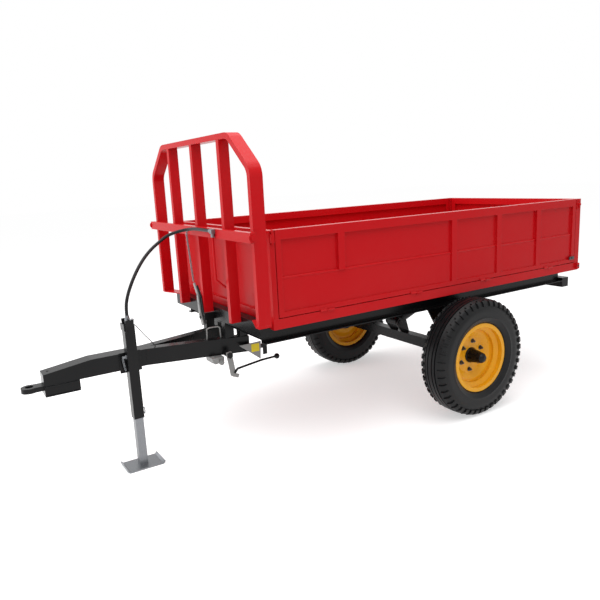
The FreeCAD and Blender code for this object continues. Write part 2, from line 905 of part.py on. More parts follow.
def tailgate():
    """Tailgate between the rear posts, hung from its two top pins."""
    x = half_bed - rear_post - panel_gap
    y0 = bed_rear - wall_frame
    y1 = bed_rear
    outer = block(-x, x, y0, y1, panel_foot, side_top)
    inner = x - wall_frame
    low = panel_foot + lower_rail_height
    high = side_top - top_rail_height
    hole = block(-inner, inner, y0 - 1, y1 + 1, low, high)
    sheet_y = y1 - wall_recess
    sheet = block(-inner, inner, sheet_y - wall_sheet, sheet_y, low, high)
    pieces = [outer.cut(hole), sheet]
    for i in (-1, 1):
        rib_x = i * x / 3
        pieces.append(block(rib_x - rib_width / 2, rib_x + rib_width / 2, sheet_y, y1, low, high))
    y, z = gate_axis()
    socket = rod_x(gate_pin_radius + running_fit, x - gate_pin_reach - 5, x + 1, y, z)
    return fuse(pieces).cut(socket).cut(mirrored(socket))


# ---- tipping ram ---------------------------------------------------------------
def ram_base():
    return axle_y - ram_base_ahead_of_axle, ram_base_height


def ram_top():
    return bed_rear - ram_top_from_rear, ram_top_height


def ram_axis():
    """Length and angle of the closed ram, from its base pin to its eye."""
    y0, z0 = ram_base()
    y1, z1 = ram_top()
    return math.hypot(y1 - y0, z1 - z0), math.degrees(math.atan2(z1 - z0, y1 - y0))


def along_ram(shape):
    """Turn a shape built along +Y from the base pin into the ram's line."""
    y0, z0 = ram_base()
    length, angle = ram_axis()
    shape = shape.copy()
    shape.rotate(FreeCAD.Vector(0, y0, z0), FreeCAD.Vector(1, 0, 0), angle)
    return shape


def rod_y(radius, y0, y1, z):
    """A round bar along Y in the trailer's middle plane."""
    return Part.makeCylinder(radius, y1 - y0, FreeCAD.Vector(0, y0, z), FreeCAD.Vector(0, 1, 0))


def ram_barrel():
    """Cylinder barrel with its base eye and gland."""
    y0, z0 = ram_base()
    length, angle = ram_axis()
    end = y0 + length - ram_eye_radius - ram_rod_shows
    start = y0 + ram_eye_radius + 4
    body = rod_y(ram_barrel_radius, start, end, z0)
    bore = rod_y(ram_bore_radius, start + 20, end - ram_gland_length, z0)
    gland = rod_y(ram_rod_radius + running_fit, end - ram_gland_length - 1, end + 1, z0)
    half = ram_base_width / 2
    eye = rod_x(ram_eye_radius, -half, half, y0, z0)
    neck = block(-half / 2, half / 2, y0, start, z0 - ram_eye_radius, z0 + ram_eye_radius)
    hole = rod_x(ram_pin_radius + running_fit, -half - 1, half + 1, y0, z0)
    return along_ram(fuse([body, eye, neck]).cut(bore).cut(gland).cut(hole))


def ram_rod():
    """Ram's rod with the eye that lifts the bed."""
    y0, z0 = ram_base()
    length, angle = ram_axis()
    eye_y = y0 + length
    start = y0 + ram_eye_radius + 4 + 24
    half = ram_eye_width / 2
    rod = rod_y(ram_rod_radius, start, eye_y, z0)
    eye = rod_x(ram_eye_radius, -half, half, eye_y, z0)
    hole = rod_x(ram_pin_radius + running_fit, -half - 1, half + 1, eye_y, z0)
    return along_ram(fuse([rod, eye]).cut(hole))


def ram_base_lugs():
    """Lugs on the axle that hold the ram's base pin."""
    y, z = ram_base()
    inner = ram_base_width / 2 + side_gap
    outer = inner + ram_lug_thickness
    low = tyre_radius + axle_size / 2
    outline = [
        (inner, axle_y - axle_size / 2, low),
        (inner, axle_y + axle_size / 2, low),
        (inner, axle_y + 10, z + 10),
        (inner, y - 10, z + ram_eye_radius),
        (inner, y - ram_eye_radius, z),
        (inner, y - ram_eye_radius, z - 12),
    ]
    lug = plate(outline, (ram_lug_thickness, 0, 0))
    pin = rod_x(ram_pin_radius, -outer - 6, outer + 6, y, z)
    return fuse([lug, mirrored(lug), pin])


def ram_top_lugs():
    """Lugs under the bed on either side of the ram's eye, each with a pin stub."""
    y, z = ram_top()
    inner = ram_eye_width / 2 + side_gap
    outer = inner + ram_lug_thickness
    top = sill_top - floor_thickness
    outline = [
        (inner, y - 22, z - 24),
        (inner, y + 22, z - 24),
        (inner, y + 70, top),
        (inner, y - 70, top),
    ]
    lug = plate(outline, (ram_lug_thickness, 0, 0))
    stub = rod_x(ram_pin_radius, outer, outer + 12, y, z)
    return both_sides(fuse([lug, stub]))


save("drawbar_nose", drawbar_nose())
save("drawbar_arm_left", drawbar_arm())
save("drawbar_arm_right", mirrored(drawbar_arm()))
save("tow_eye", tow_eye())
save("eye_holder", eye_holder())
save("chassis_rails", both_sides(chassis_rail()))
save("chassis_crossmembers", crossmembers())
save("arm_spacers", arm_spacers())
save("rear_cross_tube", rear_cross_tube())
save("hinge_lugs", hinge_lugs())
save("tip_hinge_pins", tip_hinge_pins())
save("rest_pads", rest_pads())
save("axle_beam", axle_beam())
save("axle_hangers", axle_hangers())
save("ram_base_lugs", ram_base_lugs())
save("tyre_left", tyre())
save("tyre_right", mirrored(tyre()))
save("rim_left", rim())
save("rim_right", mirrored(rim()))
save("hub_left", hub())
save("hub_right", mirrored(hub()))
save("rack_arch", rack_arch())
save("rack_bars", rack_bars())
save("rack_rail", rack_rail())
save("rack_beam", rack_beam())
save("rack_gussets", rack_gussets())
save("jack_sleeve", jack_sleeve())
save("jack_bracket", jack_bracket())
save("jack_leg", jack_leg())
save("hydraulic_hose", hydraulic_hose())
save("hose_fittings", hose_fittings())
save("bed_floor", bed_floor())
save("bed_sills", bed_sills())
save("bed_end_sills", bed_end_sills())
save("bed_bearers", bed_bearers())
save("bed_beams", bed_beams())
save("side_left", side_panel())
save("side_right", mirrored(side_panel()))
save("side_hinges", sill_hinge_leaves())
save("front_panel", front_panel())
save("rear_posts", rear_posts())
save("tailgate", tailgate())
save("ram_barrel", ram_barrel())
save("ram_rod", ram_rod())
save("ram_top_lugs", ram_top_lugs())
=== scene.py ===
import math
import bmesh
import bpy
from mathutils import Matrix, Vector


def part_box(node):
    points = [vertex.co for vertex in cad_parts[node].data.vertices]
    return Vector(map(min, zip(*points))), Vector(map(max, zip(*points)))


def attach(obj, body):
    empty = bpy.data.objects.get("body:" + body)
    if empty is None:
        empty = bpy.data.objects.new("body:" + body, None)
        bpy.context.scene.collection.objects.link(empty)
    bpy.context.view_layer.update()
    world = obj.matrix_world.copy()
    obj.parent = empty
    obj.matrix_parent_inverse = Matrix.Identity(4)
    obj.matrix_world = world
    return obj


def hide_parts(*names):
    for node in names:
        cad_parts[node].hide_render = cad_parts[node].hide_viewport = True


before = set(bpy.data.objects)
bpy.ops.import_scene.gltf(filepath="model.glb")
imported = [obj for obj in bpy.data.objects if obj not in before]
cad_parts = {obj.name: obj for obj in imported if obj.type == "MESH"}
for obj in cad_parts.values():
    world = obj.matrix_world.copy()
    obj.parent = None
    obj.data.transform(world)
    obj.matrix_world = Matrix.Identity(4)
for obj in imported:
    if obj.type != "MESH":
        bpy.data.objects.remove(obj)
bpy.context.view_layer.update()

# ---- camera ------------------------------------------------------------------
# A full-frame camera with a short lens, at a standing person's eye height,
# ahead of the trailer and off to its left.
camera_data = bpy.data.cameras.new("studio_camera")
camera_data.lens = 35.72
camera_data.sensor_width = 36.0
camera = bpy.data.objects.new("studio_camera", camera_data)
camera.location = (3.2525, -2.1632, 1.5629)
camera.rotation_euler = (math.radians(78.19), math.radians(2.82), math.radians(57.91))
bpy.context.scene.collection.objects.link(camera)
bpy.context.scene.camera = camera
bpy.context.scene.view_settings.view_transform = "Standard"


# ---- studio ------------------------------------------------------------------
# White air all round, a pale floor that keeps the shadow, a wide overhead
# panel, and a second panel off to the front that lights the headboard's side.
def seen_directly(nodes, links):
    """1 for rays from the camera, or that are mirrored or pass through glass."""
    path = nodes.new("ShaderNodeLightPath")
    either = nodes.new("ShaderNodeMath")
    either.operation = "MAXIMUM"
    links.new(path.outputs["Is Camera Ray"], either.inputs[0])
    links.new(path.outputs["Is Glossy Ray"], either.inputs[1])
    any_of_them = nodes.new("ShaderNodeMath")
    any_of_them.operation = "MAXIMUM"
    links.new(either.outputs[0], any_of_them.inputs[0])
    links.new(path.outputs["Is Transmission Ray"], any_of_them.inputs[1])
    return any_of_them.outputs[0]


world = bpy.data.worlds.new("studio_air")
world.use_nodes = True
air, joins = world.node_tree.nodes, world.node_tree.links
air.clear()
soft_light = air.new("ShaderNodeBackground")
soft_light.inputs["Color"].default_value = (1.0, 1.0, 1.0, 1.0)
soft_light.inputs["Strength"].default_value = 0.62
white_wall = air.new("ShaderNodeBackground")
white_wall.inputs["Color"].default_value = (1.0, 1.0, 1.0, 1.0)
white_wall.inputs["Strength"].default_value = 1.0
blend_air = air.new("ShaderNodeMixShader")
air_out = air.new("ShaderNodeOutputWorld")
joins.new(seen_directly(air, joins), blend_air.inputs[0])
joins.new(soft_light.outputs[0], blend_air.inputs[1])
joins.new(white_wall.outputs[0], blend_air.inputs[2])
joins.new(blend_air.outputs[0], air_out.inputs["Surface"])
bpy.context.scene.world = world


def light_panel(name, place, target, width, height, watts):
    data = bpy.data.lights.new(name, "AREA")
    data.shape = "RECTANGLE"
    data.size = width
    data.size_y = height
    data.energy = watts
    lamp = bpy.data.objects.new(name, data)
    lamp.location = place
    aim = Vector(target) - Vector(place)
    lamp.rotation_euler = aim.to_track_quat("-Z", "Y").to_euler()
    bpy.context.scene.collection.objects.link(lamp)


light_panel("overhead_panel", (0.6, -0.4, 4.6), (0.0, 0.2, 0.0), 5.0, 6.0, 210.0)
light_panel("front_panel_lamp", (-2.6, -5.0, 2.2), (0.0, -0.9, 1.0), 3.2, 3.0, 115.0)

floor_bm = bmesh.new()
bmesh.ops.create_grid(floor_bm, x_segments=1, y_segments=1, size=40.0)
floor_mesh = bpy.data.meshes.new("studio_floor")
floor_bm.to_mesh(floor_mesh)
floor_bm.free()
floor_paint = bpy.data.materials.new("pale_floor")
floor_paint.use_nodes = True
pens, wires = floor_paint.node_tree.nodes, floor_paint.node_tree.links
pens.clear()
matt = pens.new("ShaderNodeBsdfDiffuse")
matt.inputs["Color"].default_value = (0.86, 0.86, 0.86, 1.0)
lift = pens.new("ShaderNodeEmission")
lift.inputs["Color"].default_value = (1.0, 1.0, 1.0, 1.0)
lift.inputs["Strength"].default_value = 0.46
lifted = pens.new("ShaderNodeAddShader")
by_ray = pens.new("ShaderNodeMixShader")
floor_out = pens.new("ShaderNodeOutputMaterial")
wires.new(matt.outputs[0], lifted.inputs[0])
wires.new(lift.outputs[0], lifted.inputs[1])
wires.new(seen_directly(pens, wires), by_ray.inputs[0])
wires.new(matt.outputs[0], by_ray.inputs[1])
wires.new(lifted.outputs[0], by_ray.inputs[2])
wires.new(by_ray.outputs[0], floor_out.inputs["Surface"])
floor_mesh.materials.append(floor_paint)
studio_floor = bpy.data.objects.new("studio_floor", floor_mesh)
bpy.context.scene.collection.objects.link(studio_floor)


# ---- red steelwork -------------------------------------------------------------
# The bed, its panels and the headboard are welded from folded sheet and square tube, then sprayed with gloss
# red enamel; a paler colour along the edges is a painted highlight.
def shader_group(name, inputs, outputs):
    """An empty node group with plain number inputs and the outputs named."""
    group = bpy.data.node_groups.new(name, "ShaderNodeTree")
    for label, value in inputs:
        socket = group.interface.new_socket(label, in_out="INPUT", socket_type="NodeSocketFloat")
        socket.default_value = value
    for label, kind in outputs:
        group.interface.new_socket(label, in_out="OUTPUT", socket_type=kind)
    return group, group.nodes.new("NodeGroupInput"), group.nodes.new("NodeGroupOutput")


def edge_group():
    """Where a surface turns a corner, and the normal that rounds it."""
    group, given, result = shader_group(
        "rounded_edges", [("Radius", 0.002), ("Sharpness", 4.0)],
        [("Mask", "NodeSocketFloat"), ("Normal", "NodeSocketVector")])
    rounded = group.nodes.new("ShaderNodeBevel")
    rounded.samples = 4
    plain = group.nodes.new("ShaderNodeNewGeometry")
    alike = group.nodes.new("ShaderNodeVectorMath")
    alike.operation = "DOT_PRODUCT"
    apart = group.nodes.new("ShaderNodeMath")
    apart.operation = "SUBTRACT"
    apart.inputs[0].default_value = 1.0
    strong = group.nodes.new("ShaderNodeMath")
    strong.operation = "MULTIPLY"
    strong.use_clamp = True
    group.links.new(given.outputs["Radius"], rounded.inputs["Radius"])
    group.links.new(rounded.outputs["Normal"], alike.inputs[0])
    group.links.new(plain.outputs["True Normal"], alike.inputs[1])
    group.links.new(alike.outputs["Value"], apart.inputs[1])
    group.links.new(apart.outputs[0], strong.inputs[0])
    group.links.new(given.outputs["Sharpness"], strong.inputs[1])
    group.links.new(strong.outputs[0], result.inputs["Mask"])
    group.links.new(rounded.outputs["Normal"], result.inputs["Normal"])
    return group


def dust_group():
    """Yard dust: patchy, and mostly on what faces up."""
    group, given, result = shader_group(
        "yard_dust", [("Scale", 3.0), ("Amount", 0.2)], [("Mask", "NodeSocketFloat")])
    place = group.nodes.new("ShaderNodeTexCoord")
    patches = group.nodes.new("ShaderNodeTexNoise")
    patches.inputs["Detail"].default_value = 6.0
    patches.inputs["Roughness"].default_value = 0.62
    facing = group.nodes.new("ShaderNodeNewGeometry")
    split = group.nodes.new("ShaderNodeSeparateXYZ")
    up = group.nodes.new("ShaderNodeMapRange")
    up.inputs["From Min"].default_value = -0.2
    up.inputs["From Max"].default_value = 1.0
    up.inputs["To Min"].default_value = 0.35
    up.inputs["To Max"].default_value = 1.0
    spread = group.nodes.new("ShaderNodeMapRange")
    spread.inputs["From Min"].default_value = 0.42
    spread.inputs["From Max"].default_value = 0.72
    both = group.nodes.new("ShaderNodeMath")
    both.operation = "MULTIPLY"
    scaled = group.nodes.new("ShaderNodeMath")
    scaled.operation = "MULTIPLY"
    group.links.new(place.outputs["Object"], patches.inputs["Vector"])
    group.links.new(given.outputs["Scale"], patches.inputs["Scale"])
    group.links.new(patches.outputs[0], spread.inputs["Value"])
    group.links.new(facing.outputs["Normal"], split.inputs[0])
    group.links.new(split.outputs["Z"], up.inputs["Value"])
    group.links.new(spread.outputs[0], both.inputs[0])
    group.links.new(up.outputs[0], both.inputs[1])
    group.links.new(both.outputs[0], scaled.inputs[0])
    group.links.new(given.outputs["Amount"], scaled.inputs[1])
    group.links.new(scaled.outputs[0], result.inputs["Mask"])
    return group


def ripple_group():
    """The faint orange peel of sprayed paint over gently uneven sheet."""
    group, given, result = shader_group(
        "sprayed_ripple", [("Scale", 140.0), ("Sheet", 0.5)], [("Height", "NodeSocketFloat")])
    place = group.nodes.new("ShaderNodeTexCoord")
    peel = group.nodes.new("ShaderNodeTexNoise")
    peel.inputs["Detail"].default_value = 2.0
    sheet = group.nodes.new("ShaderNodeTexNoise")
    sheet.inputs["Scale"].default_value = 3.4
    sheet.inputs["Detail"].default_value = 1.0
    uneven = group.nodes.new("ShaderNodeMath")
    uneven.operation = "MULTIPLY"
    total = group.nodes.new("ShaderNodeMath")
    total.operation = "ADD"
    group.links.new(place.outputs["Object"], peel.inputs["Vector"])
    group.links.new(place.outputs["Object"], sheet.inputs["Vector"])
    group.links.new(given.outputs["Scale"], peel.inputs["Scale"])
    group.links.new(sheet.outputs[0], uneven.inputs[0])
    group.links.new(given.outputs["Sheet"], uneven.inputs[1])
    group.links.new(peel.outputs[0], total.inputs[0])
    group.links.new(uneven.outputs[0], total.inputs[1])
    group.links.new(total.outputs[0], result.inputs["Height"])
    return group


rounded_edges = edge_group()
yard_dust = dust_group()
sprayed_ripple = ripple_group()


def placed(nodes, group, **values):
    node = nodes.new("ShaderNodeGroup")
    node.node_tree = group
    for label, value in values.items():
        node.inputs[label].default_value = value
    return node


def enamel(name, colour, edge_highlight_colour, dust_colour, rough, specular, coat, dust, edge_radius, ripple):
    """Sprayed enamel: its colour, a paler colour along the edges that is a painted highlight, dust, and a
    faint orange peel.
    """
    paint = bpy.data.materials.new(name)
    paint.use_nodes = True
    nodes, links = paint.node_tree.nodes, paint.node_tree.links
    skin = nodes["Principled BSDF"]
    skin.inputs["Specular IOR Level"].default_value = specular
    skin.inputs["Coat Weight"].default_value = coat
    skin.inputs["Coat Roughness"].default_value = 0.12
    edges = placed(nodes, rounded_edges, Radius=edge_radius, Sharpness=3.0)
    dusty = placed(nodes, yard_dust, Scale=2.6, Amount=dust)
    rippled = placed(nodes, sprayed_ripple, Scale=ripple, Sheet=0.8)
    # Paler colour where a surface turns a corner: a painted highlight on the edges.
    edge_highlight = nodes.new("ShaderNodeMix")
    edge_highlight.data_type = "RGBA"
    edge_highlight.inputs["A"].default_value = colour
    edge_highlight.inputs["B"].default_value = edge_highlight_colour
    covered = nodes.new("ShaderNodeMix")
    covered.data_type = "RGBA"
    covered.inputs["B"].default_value = dust_colour
    dulled = nodes.new("ShaderNodeMapRange")
    dulled.inputs["To Min"].default_value = rough
    dulled.inputs["To Max"].default_value = min(rough + 0.6, 1.0)
    bump = nodes.new("ShaderNodeBump")
    bump.inputs["Strength"].default_value = 0.06
    bump.inputs["Distance"].default_value = 0.002
    links.new(edges.outputs["Mask"], edge_highlight.inputs["Factor"])
    links.new(edge_highlight.outputs["Result"], covered.inputs["A"])
    links.new(dusty.outputs["Mask"], covered.inputs["Factor"])
    links.new(covered.outputs["Result"], skin.inputs["Base Color"])
    links.new(dusty.outputs["Mask"], dulled.inputs["Value"])
    links.new(dulled.outputs[0], skin.inputs["Roughness"])
    links.new(rippled.outputs["Height"], bump.inputs["Height"])
    links.new(edges.outputs["Normal"], bump.inputs["Normal"])
    links.new(bump.outputs[0], skin.inputs["Normal"])
    return paint


def paint_nodes(material, *names):
    """Give built pieces a better finish."""
    for name in names:
        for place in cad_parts[name].material_slots:
            place.material = material


# The second colour, along the edges, is a painted highlight.
red_enamel = enamel(
    "red_enamel", (0.520, 0.0045, 0.008, 1.0), (0.66, 0.030, 0.032, 1.0), (0.50, 0.30, 0.24, 1.0),
    rough=0.24, specular=0.11, coat=0.0, dust=0.03, edge_radius=0.0022, ripple=150.0)
paint_nodes(red_enamel, "rack_arch", "rack_bars", "rack_rail", "rack_gussets", "bed_floor",
            "bed_sills", "bed_end_sills", "bed_bearers", "bed_beams", "side_left", "side_right",
            "side_hinges", "front_panel", "rear_posts", "tailgate", "ram_top_lugs")

# ---- black chassis ---------------------------------------------------------------
# The drawbar, rails, cross-members and axle are square tube and flat plate,
# welded and finished in satin black with a little dust on what faces up; the
# brake's lever and bracket are grey.
# The second colour, along the edges, is a painted highlight.
black_enamel = enamel(
    "black_enamel", (0.0045, 0.0046, 0.0052, 1.0), (0.030, 0.031, 0.034, 1.0), (0.10, 0.097, 0.094, 1.0),
    rough=0.24, specular=0.17, coat=0.0, dust=0.07, edge_radius=0.0025, ripple=110.0)
# The second colour, along the edges, is a painted highlight.
grey_enamel = enamel(
    "grey_enamel", (0.250, 0.250, 0.245, 1.0), (0.36, 0.36, 0.35, 1.0), (0.22, 0.21, 0.20, 1.0),
    rough=0.34, specular=0.5, coat=0.1, dust=0.12, edge_radius=0.0022, ripple=110.0)
paint_nodes(black_enamel, "drawbar_nose", "drawbar_arm_left", "drawbar_arm_right", "tow_eye",
            "eye_holder", "chassis_rails", "chassis_crossmembers", "arm_spacers",
            "rear_cross_tube", "hinge_lugs", "axle_beam", "axle_hangers", "ram_base_lugs",
            "jack_sleeve", "jack_bracket", "ram_barrel", "hub_left", "hub_right", "rack_beam")


# ---- plated and bare steel ----------------------------------------------------------
# The jack's leg, the fittings and small hardware are dulled zinc plate; the
# ram's rod is ground chrome, and the hinge pins are oiled bare steel.
def metal(name, colour, shade_colour, rough, streak):
    """Plated or bare steel with fine drawn streaks and faint blotches."""
    finish = bpy.data.materials.new(name)
    finish.use_nodes = True
    nodes, links = finish.node_tree.nodes, finish.node_tree.links
    skin = nodes["Principled BSDF"]
    skin.inputs["Metallic"].default_value = 0.85
    edges = placed(nodes, rounded_edges, Radius=0.001, Sharpness=2.0)
    place = nodes.new("ShaderNodeTexCoord")
    stretch = nodes.new("ShaderNodeMapping")
    stretch.inputs["Scale"].default_value = (streak, streak, 6.0)
    drawn = nodes.new("ShaderNodeTexNoise")
    drawn.inputs["Scale"].default_value = 9.0
    drawn.inputs["Detail"].default_value = 5.0
    blotch = nodes.new("ShaderNodeTexVoronoi")
    blotch.inputs["Scale"].default_value = 46.0
    mixed = nodes.new("ShaderNodeMath")
    mixed.operation = "MULTIPLY"
    tone = nodes.new("ShaderNodeMix")
    tone.data_type = "RGBA"
    tone.inputs["A"].default_value = shade_colour
    tone.inputs["B"].default_value = colour
    gloss = nodes.new("ShaderNodeMapRange")
    gloss.inputs["To Min"].default_value = rough + 0.14
    gloss.inputs["To Max"].default_value = rough - 0.04
    bump = nodes.new("ShaderNodeBump")
    bump.inputs["Strength"].default_value = 0.08
    bump.inputs["Distance"].default_value = 0.001
    links.new(place.outputs["Object"], stretch.inputs["Vector"])
    links.new(stretch.outputs[0], drawn.inputs["Vector"])
    links.new(place.outputs["Object"], blotch.inputs["Vector"])
    links.new(drawn.outputs[0], mixed.inputs[0])
    links.new(blotch.outputs["Distance"], mixed.inputs[1])
    links.new(drawn.outputs[0], tone.inputs["Factor"])
    links.new(tone.outputs["Result"], skin.inputs["Base Color"])
    links.new(drawn.outputs[0], gloss.inputs["Value"])
    links.new(gloss.outputs[0], skin.inputs["Roughness"])
    links.new(mixed.outputs[0], bump.inputs["Height"])
    links.new(edges.outputs["Normal"], bump.inputs["Normal"])
    links.new(bump.outputs[0], skin.inputs["Normal"])
    return finish


zinc_plate = metal("zinc_plate", (0.27, 0.28, 0.295, 1.0), (0.17, 0.176, 0.188, 1.0),
                   rough=0.34, streak=30.0)
hard_chrome = metal("hard_chrome", (0.78, 0.79, 0.80, 1.0), (0.66, 0.67, 0.68, 1.0),
                    rough=0.12, streak=4.0)
oiled_steel = metal("oiled_steel", (0.40, 0.40, 0.41, 1.0), (0.22, 0.21, 0.20, 1.0),
                    rough=0.38, streak=20.0)
dark_steel = metal("dark_steel", (0.110, 0.112, 0.115, 1.0), (0.05, 0.05, 0.05, 1.0),
                   rough=0.36, streak=20.0)
paint_nodes(zinc_plate, "jack_leg")
paint_nodes(hard_chrome, "ram_rod")
paint_nodes(oiled_steel, "tip_hinge_pins")


# ---- rubber --------------------------------------------------------------------------
# Tyres, the bed's rest pads and the hose's cover are black rubber, each with its
# own gloss and its own dust.
def rubber(name, colour, dust_colour, rough, dust, grain):
    cover = bpy.data.materials.new(name)
    cover.use_nodes = True
    nodes, links = cover.node_tree.nodes, cover.node_tree.links
    skin = nodes["Principled BSDF"]
    skin.inputs["Specular IOR Level"].default_value = 0.20
    dusty = placed(nodes, yard_dust, Scale=9.0, Amount=dust)
    pores = placed(nodes, sprayed_ripple, Scale=grain, Sheet=0.2)
    tone = nodes.new("ShaderNodeMix")
    tone.data_type = "RGBA"
    tone.inputs["A"].default_value = colour
    tone.inputs["B"].default_value = dust_colour
    dulled = nodes.new("ShaderNodeMapRange")
    dulled.inputs["To Min"].default_value = rough
    dulled.inputs["To Max"].default_value = 1.0
    bump = nodes.new("ShaderNodeBump")
    bump.inputs["Strength"].default_value = 0.15
    bump.inputs["Distance"].default_value = 0.001
    links.new(dusty.outputs["Mask"], tone.inputs["Factor"])
    links.new(tone.outputs["Result"], skin.inputs["Base Color"])
    links.new(dusty.outputs["Mask"], dulled.inputs["Value"])
    links.new(dulled.outputs[0], skin.inputs["Roughness"])
    links.new(pores.outputs["Height"], bump.inputs["Height"])
    links.new(bump.outputs[0], skin.inputs["Normal"])
    return cover


tyre_rubber = rubber("tyre_rubber", (0.0065, 0.0067, 0.0074, 1.0), (0.050, 0.049, 0.047, 1.0),
                     rough=0.38, dust=0.14, grain=420.0)
pad_rubber = rubber("pad_rubber", (0.018, 0.018, 0.018, 1.0), (0.09, 0.085, 0.08, 1.0),
                    rough=0.6, dust=0.3, grain=300.0)
hose_rubber = rubber("hose_rubber", (0.012, 0.012, 0.013, 1.0), (0.06, 0.058, 0.055, 1.0),
                     rough=0.34, dust=0.12, grain=700.0)
paint_nodes(pad_rubber, "rest_pads")


# ---- tyres -----------------------------------------------------------------------------
# Implement tyres of 6.50-16 size, moulded rubber: straight ribs round the
# middle of the tread, L-shaped blocks on both shoulders, smooth sidewalls.
LUGS = 46
STEPS_PER_LUG = 5
LONG_LUG = (0.0700, 0.0885)  # inner and outer edge, from the tyre's middle plane
SHORT_LUG = (0.0560, 0.0700)
LONG_LUG_DROP = 0.045  # how far below the crown the blocks reach
SHORT_LUG_DROP = 0.02
LONG_LUG_STEPS = 3
SHORT_LUG_STEPS = 1
LUG_STAGGER = 2
LUG_HEIGHT = 0.0085
LUG_DRAFT = 0.0014
WELD_GAP = 0.00001
SHARP_ANGLE = math.radians(32)


def steel_piece(name, bm, material, body, edge=0.0):
    """Close off a mesh as one finished piece that rides on a body."""
    bmesh.ops.remove_doubles(bm, verts=bm.verts, dist=WELD_GAP)
    bmesh.ops.recalc_face_normals(bm, faces=bm.faces)
    mesh = bpy.data.meshes.new(name)
    bm.to_mesh(mesh)
    bm.free()
    mesh.materials.append(material)
    mesh.shade_smooth()
    mesh.set_sharp_from_angle(angle=SHARP_ANGLE)
    piece = bpy.data.objects.new(name, mesh)
    bpy.context.scene.collection.objects.link(piece)
    if edge:
        rounding = piece.modifiers.new("rounded", "BEVEL")
        rounding.width = edge
        rounding.segments = 2
        rounding.limit_method = "ANGLE"
        rounding.harden_normals = True
    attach(piece, body)
    return piece


def turned(bm, section, centre, steps):
    """Turn an outline of (along, radius) pairs about an axle along X."""
    points = [bm.verts.new((centre.x + along, centre.y, centre.z + radius))
              for along, radius in section]
    edges = [bm.edges.new((points[i - 1], points[i])) for i in range(1, len(points))]
    return bmesh.ops.spin(bm, geom=points + edges, cent=centre, axis=(1, 0, 0),
                          angle=math.tau, steps=steps, use_merge=True)


def tyre(node, body):
    low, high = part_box(node)
    centre = (low + high) / 2
    crown = (high.z - low.z) / 2
    side = [
        (0.0, -0.001), (0.0125, -0.001), (0.0140, -0.010), (0.0190, -0.010), (0.0205, -0.0015),
        (0.0360, -0.0020), (0.0375, -0.0115), (0.0430, -0.0115), (0.0445, -0.0035),
        (0.0560, -0.0095), (0.0700, -0.0140), (0.0790, -0.0200), (0.0855, -0.0300),
        (0.0885, -0.0440), (0.0915, -0.0600), (0.0928, -0.0630), (0.0930, -0.0800),
        (0.0932, -0.1000), (0.0922, -0.1160), (0.0930, -0.1180), (0.0915, -0.1200),
        (0.0870, -0.1330), (0.0810, -0.1430), (0.0745, -0.1500), (0.0712, -0.1515),
        (0.0655, -0.1525), (0.0638, -0.1560), (0.0638, -0.1745),
    ]
    section = [(-across, crown + drop) for across, drop in reversed(side[1:])]
    section += [(across, crown + drop) for across, drop in side]
    section = section + section[:1]
    bm = bmesh.new()
    turned(bm, section, centre, LUGS * STEPS_PER_LUG)
    bmesh.ops.remove_doubles(bm, verts=bm.verts, dist=WELD_GAP)
    bmesh.ops.recalc_face_normals(bm, faces=bm.faces)
    blocks = []
    for face in bm.faces:
        middle = face.calc_center_median()
        across = abs(middle.x - centre.x)
        turn = math.atan2(middle.z - centre.z, middle.y - centre.y) % math.tau
        step = int(turn / math.tau * LUGS * STEPS_PER_LUG)
        if middle.x < centre.x:
            step += LUG_STAGGER
        radius = math.hypot(middle.z - centre.z, middle.y - centre.y)
        long_part = LONG_LUG[0] < across < LONG_LUG[1] and radius > crown - LONG_LUG_DROP
        short_part = SHORT_LUG[0] < across < SHORT_LUG[1] and radius > crown - SHORT_LUG_DROP
        place = step % STEPS_PER_LUG
        if (long_part and place < LONG_LUG_STEPS) or (short_part and place < SHORT_LUG_STEPS):
            blocks.append(face)
    bmesh.ops.inset_region(bm, faces=blocks, thickness=LUG_DRAFT, depth=LUG_HEIGHT,
                           use_boundary=True, use_even_offset=True)
    piece = steel_piece("tread_" + node, bm, tyre_rubber, body)
    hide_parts(node)


tyre("tyre_left", "wheel_left")
tyre("tyre_right", "wheel_right")

# ---- wheels and hubs ------------------------------------------------------------------------
# Pressed steel rims with a dished disc, in amber yellow enamel, held by six nuts
# on black studs; the hubs carry a black tapered grease cap.
# The second colour, along the edges, is a painted highlight.
yellow_enamel = enamel(
    "yellow_enamel", (0.850, 0.390, 0.010, 1.0), (0.88, 0.50, 0.05, 1.0), (0.42, 0.30, 0.16, 1.0),
    rough=0.27, specular=0.24, coat=0.0, dust=0.07, edge_radius=0.0020, ripple=130.0)
paint_nodes(yellow_enamel, "rim_left", "rim_right")
NUTS = 6
FIRST_NUT = 0.35  # where the first nut sits, in steps round the circle
NUT_CIRCLE = 0.093
NUT_ACROSS = 0.018
NUT_CORNER = NUT_ACROSS / 2 / math.cos(math.pi / 6)
DISC_INSET = 0.015  # the disc's face behind the wheel's middle plane
# Length, radius, end radius and sides of the washer, the nut and the stud's end.
NUT_STACK = [(0.003, 0.0150, 0.0150, 20), (0.013, NUT_CORNER, NUT_CORNER, 6), (0.008, 0.0060, 0.0052, 20)]


def round_bar(bm, start, end, radius, end_radius=None, sides=20):
    """A round bar between two points, which may taper."""
    start, end = Vector(start), Vector(end)
    axis = end - start
    place = Matrix.Translation((start + end) / 2) @ axis.to_track_quat("Z", "Y").to_matrix().to_4x4()
    bmesh.ops.create_cone(bm, cap_ends=True, cap_tris=False, segments=sides, radius1=radius,
                          radius2=radius if end_radius is None else end_radius,
                          depth=axis.length, matrix=place)


